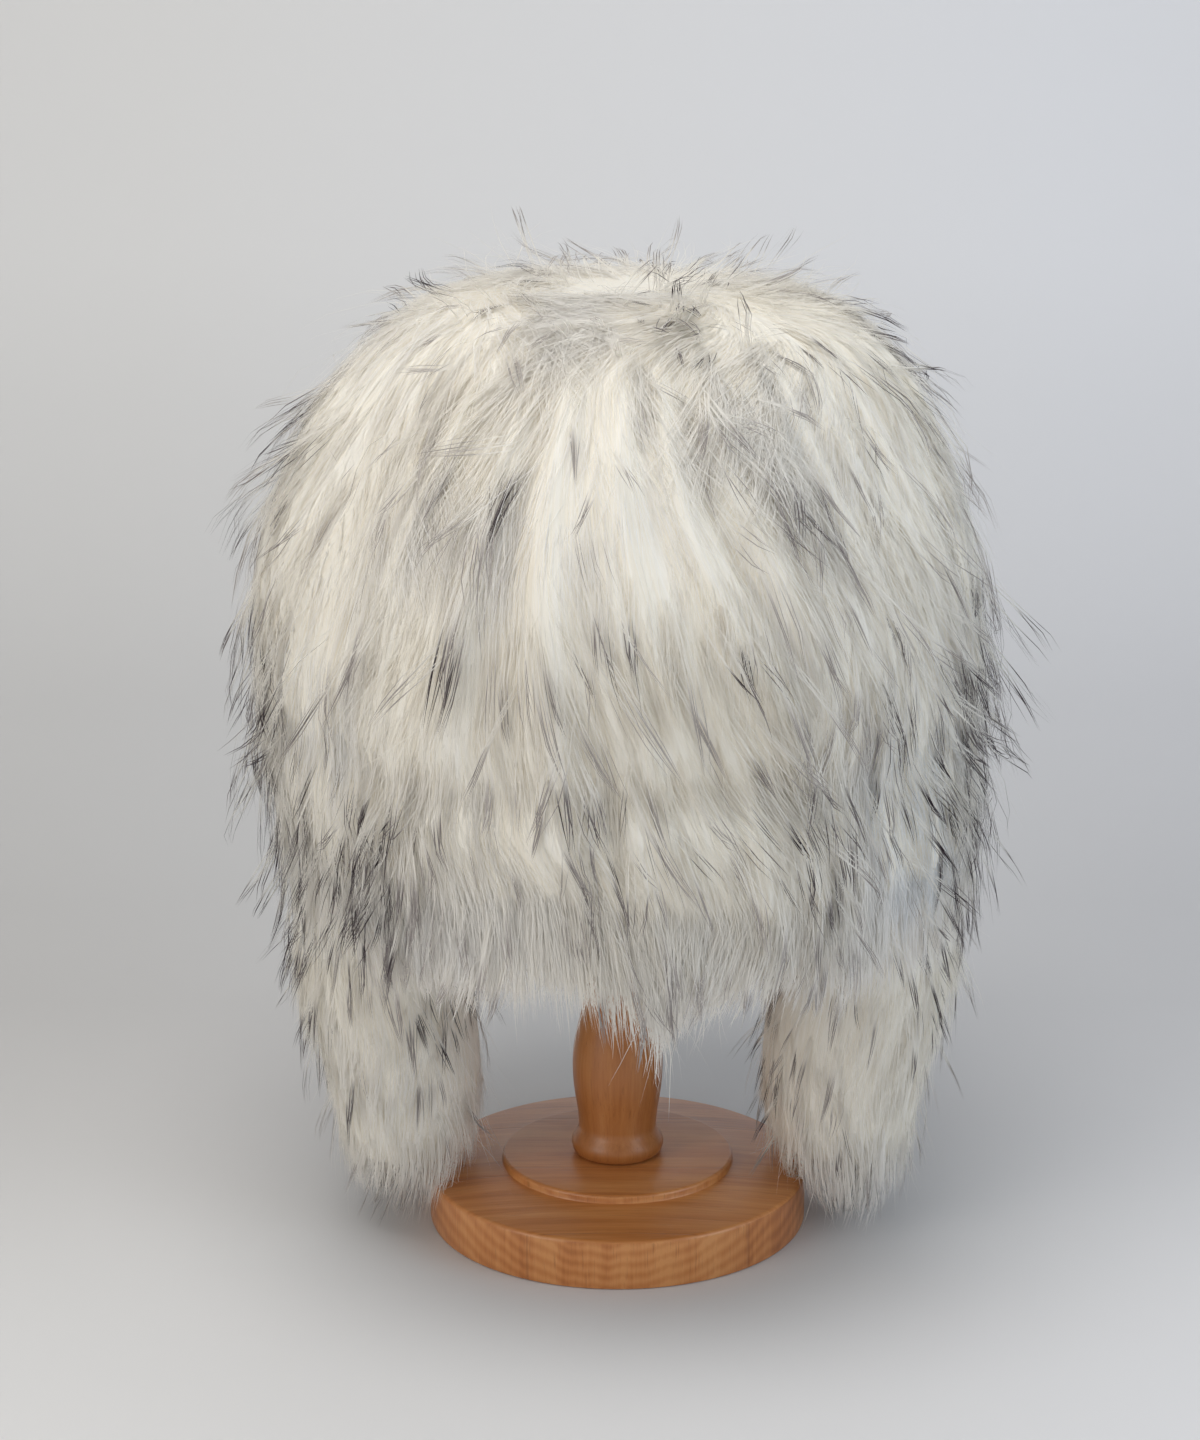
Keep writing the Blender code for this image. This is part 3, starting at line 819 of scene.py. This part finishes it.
def coatMesh(name, point, rows, columns, combLine):
    # the dense short pile that the strands rise from, a closed skin
    s = np.linspace(0, 1, rows)
    a = np.linspace(0, 360, columns, endpoint=False)
    sGrid, aGrid = np.meshgrid(s, a, indexing="ij")
    grid = point(sGrid, aGrid) * mm
    made = makeMesh(name, grid.reshape(-1, 3), ringFaces(rows, columns))
    line = np.radians(combLine(sGrid, aGrid)).reshape(-1)
    place = np.stack([np.cos(line), np.sin(line), sGrid.reshape(-1)], -1)
    addNumbers(made.data, "comb", place, "FLOAT_VECTOR")
    made.data.materials.append(coatMaterial)
    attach(made, "root")
    return made


def makeCoatMaterial():
    made, tree, shader, _ = newMaterial("shortPile", {"Roughness": 0.9})
    place = attribute(tree, "comb", "Vector")

    def combedNoise(scales, detail):
        drawn = addNode(tree, "ShaderNodeMapping", {"Vector": place, "Scale": scales})
        return noise(tree, drawn.outputs["Vector"], detail)

    fibres = combedNoise((150.0, 150.0, 14.0), 4.0)
    locks = combedNoise((18.0, 18.0, 5.0), 2.0)
    fine, coarse = mathNode(tree, "MULTIPLY", fibres, 0.6), mathNode(tree, "MULTIPLY", locks, 0.4)
    stops = [(0.32, (0.84, 0.78, 0.66)), (0.5, (0.90, 0.86, 0.765)), (0.68, (0.94, 0.915, 0.855))]
    tint = ramp(tree, mathNode(tree, "ADD", fine, coarse), stops)
    feed(tree, shader, {"Base Color": tint, "Normal": relief(tree, fibres, 0.35, 0.001)})
    return made


coatMaterial = makeCoatMaterial()

crown = {
    "length": 52.0,  # mm
    "lift": 0.16,
    "sideStrands": 19000,
    "frontStrands": 18500,
    "backStrands": 10500,
    "browStrands": 11000,
    "napeStrands": 8000,
    "browLength": 46.0,
    "napeLength": 42.0,
}

seam, edge = shape["seam"], shape["edge"]
gores = [
    # name, node it stands for, azimuths, how far down, pale strands, dark wisps, length
    ("crownFurFront", "crown_pile_front", (-45, 45), (0.0, seam), "frontStrands", 80, "length"),
    ("crownFurLeft", "crown_pile_left", (45, 135), (0.0, edge), "sideStrands", 118, "length"),
    ("crownFurBack", "crown_pile_back", (135, 225), (0.0, seam), "backStrands", 75, "length"),
    ("crownFurRight", "crown_pile_right", (225, 315), (0.0, edge), "sideStrands", 104, "length"),
    ("browFur", "brow_flap", (-45, 45), (seam, edge), "browStrands", 42, "browLength"),
    ("napeFur", "nape_flap", (135, 225), (seam, edge), "napeStrands", 55, "napeLength"),
]
for index, (name, node, azimuths, down, strands, wisps, length) in enumerate(gores):
    piece = growFur(name, 20 + index, fallPoint, crownPaths, down, azimuths, crown[strands], wisps,
                    crown[length], crown["lift"])
    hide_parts(node)
coatMesh("crownCoat", coatPoint, 100, 360, combed)

earFlap = {
    "strands": 9000,
    "wisps": 60,
    "length": 30.0,  # mm
    "lift": 0.22,
}


def straightLines(s, a):
    return a


sides = [("earFlapFurLeft", "ear_flap_left", 1), ("earFlapFurRight", "ear_flap_right", -1)]
for index, (name, node, side) in enumerate(sides):
    point = flapPoint(side)
    piece = growFur(name, 30 + index, point, flapPaths(point, side), (0.05, 1.0), (0, 360),
                    earFlap["strands"], earFlap["wisps"], earFlap["length"], earFlap["lift"])
    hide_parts(node)
    padding = coatMesh(name.replace("Fur", "Padding"), point, 48, 120, straightLines)
print("fur grown")


def makeWoodGrain():
    # streaks along X on level faces, up and down on upright ones, with a joint between boards now and then
    group, source, sink = newGroup(
        "woodGrain",
        [
            ("Place", "NodeSocketVector", None),
            ("Level", "NodeSocketFloat", 1.0),
            ("Board Width", "NodeSocketFloat", 0.05),
            ("Ring Strength", "NodeSocketFloat", 0.06),
            ("Stain", "NodeSocketColor", (1, 1, 1, 1)),
        ],
        [("Color", "NodeSocketColor"), ("Height", "NodeSocketFloat"), ("Pores", "NodeSocketFloat")],
    )
    parts = splitUp(group, source["Place"])
    x, y, z = parts["X"], parts["Y"], parts["Z"]

    def plus(first, second):
        return mathNode(group, "ADD", first, second)

    def times(first, second):
        return mathNode(group, "MULTIPLY", first, second)

    def scaled(scales, places=(x, y, z)):
        drawn = {i: times(value, float(scale)) for i, (value, scale) in enumerate(zip(places, scales))}
        return addNode(group, "ShaderNodeCombineXYZ", drawn).outputs["Vector"]

    def streaks(scales, detail, roughness=0.6):
        return noise(group, scaled(scales), detail, roughness)

    def pick(level, upright):
        node = addNode(group, "ShaderNodeMix", data_type="FLOAT")
        feed(group, node, {"Factor": source["Level"], "A": upright, "B": level})
        return node.outputs["Result"]

    broad = pick(streaks((9, 95, 30), 3.0), streaks((75, 12, 14), 3.0))
    fine = pick(streaks((28, 620, 60), 4.0), streaks((420, 420, 16), 4.0, 0.7))
    pores = pick(streaks((90, 2400, 60), 2.0, 0.5), streaks((1500, 1500, 90), 2.0, 0.5))
    # growth rings: arcs round a heart below the front edge
    fromHeart = scaled((1.0, 1.0, 1.6), (plus(x, 0.002), times(y, 0.0), plus(z, -0.045)))
    away = addNode(group, "ShaderNodeVectorMath", {0: fromHeart}, operation="LENGTH").outputs["Value"]
    wavy = plus(times(away, 900.0), times(broad, 9.0))
    rings = times(plus(mathNode(group, "SINE", wavy), 1.0), 0.5)
    bands = pick(streaks((14, 260, 40), 2.0), rings)
    # boards side by side, each in a tone of its own, with a fine dark line between them
    share = mathNode(group, "DIVIDE", y, source["Board Width"])
    shareX = mathNode(group, "DIVIDE", x, times(source["Board Width"], 1.7))
    across = pick(plus(share, 0.36), plus(shareX, 0.41))
    board = plus(mathNode(group, "FLOOR", across), 7.3)
    own = addNode(group, "ShaderNodeTexWhiteNoise", noise_dimensions="1D")
    feed(group, own, {"W": board})
    edge = mathNode(group, "ABSOLUTE", mathNode(group, "SUBTRACT", mathNode(group, "FRACT", across), 0.5))
    joint = mapRange(group, edge, 0.490, 0.499)
    total = plus(times(broad, 0.46), times(fine, 0.32))
    total = plus(plus(total, times(bands, source["Ring Strength"])), times(own.outputs["Value"], 0.14))
    tint = ramp(group, total, [(0.30, (0.36, 0.125, 0.034)), (0.42, (0.50, 0.195, 0.058)),
                               (0.52, (0.62, 0.265, 0.088)), (0.66, (0.74, 0.375, 0.15))])
    pore = mapRange(group, pores, 0.60, 0.74)
    tint = mixColour(group, times(pore, 0.35), tint, (0.26, 0.095, 0.032))
    tint = mixColour(group, times(joint, 0.28), tint, (0.20, 0.07, 0.025))
    raised = mathNode(group, "SUBTRACT", times(fine, 0.5), times(pore, 0.5))
    feed(group, sink, {
        "Color": mixColour(group, 1.0, tint, source["Stain"], "MULTIPLY"),
        "Height": mathNode(group, "SUBTRACT", raised, joint),
        "Pores": pores,
    })
    return group


woodGrain = makeWoodGrain()


def makeWoodMaterial(name, level, boardWidth, rings, stain, gloss):
    # level: 1 for streaks across, 0 for streaks up and down, None to follow each face
    # gloss: the roughness between the pores
    made, tree, shader, _ = newMaterial(name, {"Coat Weight": 0.22, "Coat Roughness": 0.22})
    if level is None:
        normal = addNode(tree, "ShaderNodeNewGeometry").outputs["Normal"]
        level = mapRange(tree, splitUp(tree, normal)["Z"], 0.35, 0.75)
    grain = addNode(tree, "ShaderNodeGroup", node_tree=woodGrain)
    feed(tree, grain, {
        "Place": addNode(tree, "ShaderNodeTexCoord").outputs["Object"],
        "Level": level,
        "Board Width": boardWidth,
        "Ring Strength": rings,
        "Stain": stain,
    })
    feed(tree, shader, {
        "Base Color": grain.outputs["Color"],
        "Normal": relief(tree, grain.outputs["Height"], 0.25, 0.0004),
        "Roughness": mapRange(tree, grain.outputs["Pores"], 0.0, 1.0, gloss - 0.05, gloss + 0.12),
    })
    return made


def lathe(name, profile, sides, material, node):
    # turned about the upright axis; profile is (radius, height) in mm from the underside up
    turn = np.linspace(0, 2 * math.pi, sides, endpoint=False)
    points = []
    for radius, height in profile:
        points += [(radius * math.cos(t) * mm, radius * math.sin(t) * mm, height * mm) for t in turn]
    faces = [(face[0], *face[:0:-1]) for face in ringFaces(len(profile), sides)]
    faces.append(tuple(range(sides))[::-1])
    faces.append(tuple(range((len(profile) - 1) * sides, len(profile) * sides)))
    made = makeMesh(name, points, faces)
    made.data.materials.append(material)
    made.data.set_sharp_from_angle(angle=math.radians(32))
    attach(made, "root")
    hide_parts(node)


def quarterRound(radius, height, size, steps=5):
    line = []
    for i in range(steps + 1):
        turn = math.pi / 2 * i / steps
        line.append((radius - size + size * math.cos(turn), height - size + size * math.sin(turn)))
    return line


stand = {
    "baseRadius": 75.0,  # mm, as all of these
    "baseHeight": 20.0,
    "stepRadius": 46.0,
    "stepHeight": 6.0,
    "crowning": 2.6,  # how far the board's top rises towards the step
    "edgeRound": 1.8,
    "gap": 0.3,
    "headRadius": 55.0,
    "headHeight": 42.0,
    "headRim": 8.0,
    "headTop": 331.3,
    "rodRadius": 10.5,
}

# The post's turned outline: height, radius.
postRows = np.array([
    [38.0, 15.4],
    [44.0, 15.9],
    [54.0, 17.4],
    [64.0, 17.9],
    [73.0, 17.1],
    [83.0, 14.9],
    [92.0, 13.0],
    [104.0, 11.4],
    [120.0, 10.5],
])


def makeStand():
    wood = makeWoodMaterial("oiledBoard", None, 0.050, 0.11, (0.90, 0.78, 0.64), 0.36)
    turned = makeWoodMaterial("oiledTurning", 0.0, 0.40, 0.0, (0.72, 0.64, 0.52), 0.40)
    top = stand["baseHeight"] + stand["stepHeight"]
    radius = stand["baseRadius"]
    profile = [(radius - 6, 0.0), (radius - 1.2, 0.0), (radius - 0.3, 0.4), (radius, 1.2)]
    profile += quarterRound(stand["baseRadius"], stand["baseHeight"], stand["edgeRound"])
    foot = stand["baseHeight"] + stand["crowning"]
    profile += [(60.0, stand["baseHeight"] + stand["crowning"] * 0.58), (stand["stepRadius"] + 0.8, foot),
                (stand["stepRadius"] + 0.2, foot + 0.15), (stand["stepRadius"], foot + 0.5)]
    profile += quarterRound(stand["stepRadius"], top, 1.4)
    profile += [(30.0, top), (8.0, top)]
    lathe("turnedBase", profile, 144, wood, "stand_base")
    foot = [(14.5, top + stand["gap"]), (15.5, top + stand["gap"]), (17.0, top + 0.8), (17.9, top + 2.2),
            (18.3, top + 4.0), (18.1, top + 5.6), (17.4, top + 7.2), (16.4, top + 8.8), (15.6, top + 10.4)]
    body = [tuple(catmull(postRows, np.array(t))[::-1]) for t in np.linspace(0, 1, 40)]
    headFoot = stand["headTop"] - stand["headHeight"]
    rod = [(stand["rodRadius"], headFoot - stand["gap"])]
    lathe("turnedPost", foot + body + rod, 72, turned, "stand_post")
    rise = stand["headHeight"] - stand["headRim"]
    sphere = (stand["headRadius"] ** 2 + rise**2) / (2 * rise)
    widest = math.asin(stand["headRadius"] / sphere)
    radius = stand["headRadius"]
    dome = [(radius - 1.8, headFoot), (radius - 0.5, headFoot + 0.5), (radius, headFoot + 1.8)]
    for i in range(25):
        turn = widest * (1 - i / 25)
        dome.append((sphere * math.sin(turn), stand["headTop"] - sphere * (1 - math.cos(turn))))
    lathe("turnedHead", dome, 96, turned, "stand_head")


makeStand()
print("stand turned")


# The cloth that carries the fur, seen from below: height, half width, half length, mm.
clothRows = np.array([
    [336.0, 0.0, 0.0],
    [334.8, 16.0, 18.5],
    [329.0, 33.0, 38.0],
    [313.0, 59.0, 69.0],
    [290.0, 75.0, 88.0],
    [263.0, 83.5, 98.0],
    [235.0, 87.0, 102.0],
    [208.0, 88.0, 103.0],
    [188.0, 87.5, 102.5],
    [168.0, 86.5, 101.5],
])
cloth = {
    "thickness": 3.0,  # mm
    "seamWidth": 1.6,  # degrees round the head
    "seamHeight": 0.8,  # mm
    "hem": 12.0,  # how wide the edge is turned up, mm
    "threads": 1.5,  # stitches per mm
}


def makeClothMaterial():
    made, tree, shader, _ = newMaterial("knitBacking", {"Roughness": 0.93})
    parts = splitUp(tree, attribute(tree, "clothPlace", "Vector"))

    def plus(first, second):
        return mathNode(tree, "ADD", first, second)

    def times(first, second):
        return mathNode(tree, "MULTIPLY", first, second)

    turns = 2 * math.pi * cloth["threads"]
    rib = mathNode(tree, "ABSOLUTE", mathNode(tree, "SINE", times(parts["X"], turns / 2)))
    zigzag = plus(times(parts["Y"], turns), times(rib, 2.2))
    loop = times(plus(mathNode(tree, "SINE", zigzag), 1.0), 0.5)
    stitch = times(plus(times(loop, 0.6), 0.4), rib)
    speckle = noise(tree, addNode(tree, "ShaderNodeTexCoord").outputs["Object"], 3.0, scale=260.0)
    # painted shade: the knit is darker in the grooves between its ribs and loops and lighter on their
    # crests; the speckle is the yarn's own
    shade = plus(times(stitch, 0.65), times(speckle, 0.35))
    stops = [(0.1, (0.42, 0.375, 0.30)), (0.5, (0.62, 0.57, 0.475)), (0.9, (0.72, 0.68, 0.59))]
    feed(tree, shader, {"Base Color": ramp(tree, shade, stops), "Normal": relief(tree, stitch, 0.6, 0.0004)})
    return made


def makeCloth():
    columns, rows = 200, 46
    azimuth = np.linspace(0, 360, columns, endpoint=False)
    turn = np.radians(azimuth)
    seams = sum(bump(signedAzimuth(azimuth - at), 0, cloth["seamWidth"]) for at in (45, 135, 225, 315))
    drop = 16.0 * np.clip((-np.cos(turn) - 0.4) / 0.3, 0, 1) ** 2
    down = np.linspace(0, 1, rows)
    layers = []
    for inset in (0.0, cloth["thickness"]):
        height, halfWidth, halfLength = catmull(clothRows, down).T
        slope = np.gradient(np.stack([halfWidth, height], 1), axis=0)
        outward = unit(np.stack([-slope[:, 1], slope[:, 0]], 1))
        inner = inset > 0
        hem = 0.5 * step(-height, -168.0 - cloth["hem"], -167.2 - cloth["hem"])
        raised = hem[:, None] + cloth["seamHeight"] * seams[None] * step(down, 0.05, 0.15)[:, None]
        depth = inset + (raised if inner else 0 * raised)
        wide = halfWidth[:, None] - depth * outward[:, :1]
        long = halfLength[:, None] - depth * outward[:, :1]
        high = height[:, None] - depth * outward[:, 1:]
        high = high - drop[None] * step(down, 0.86, 1.0)[:, None]
        layers.append(np.stack([wide * np.sin(turn), -long * np.cos(turn), high], -1))
    outer, inner = layers
    rim = (outer[-1] + inner[-1]) / 2 - np.array([0, 0, 0.8])
    grid = np.concatenate([outer, rim[None], inner[::-1]])
    made = makeMesh("clothShell", grid.reshape(-1, 3) * mm, ringFaces(len(grid), columns))
    # stitches follow the cloth: how far round and how far down each point is, in mm
    lengths = np.concatenate([[0], np.cumsum(np.linalg.norm(np.diff(outer[:, 0], axis=0), axis=1))])
    around = np.repeat(turn[None] * 95, rows, 0)
    measured = np.stack([around, np.repeat(lengths[:, None], columns, 1), 0 * around], -1)
    rimPlace = measured[-1:] + np.array([0, 1.5, 0])
    place = np.concatenate([measured, rimPlace, measured[::-1]])
    addNumbers(made.data, "clothPlace", place, "FLOAT_VECTOR")
    made.data.materials.append(makeClothMaterial())
    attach(made, "root")
    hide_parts("crown_shell")
    return made


clothShell = makeCloth()
print("cloth sewn")
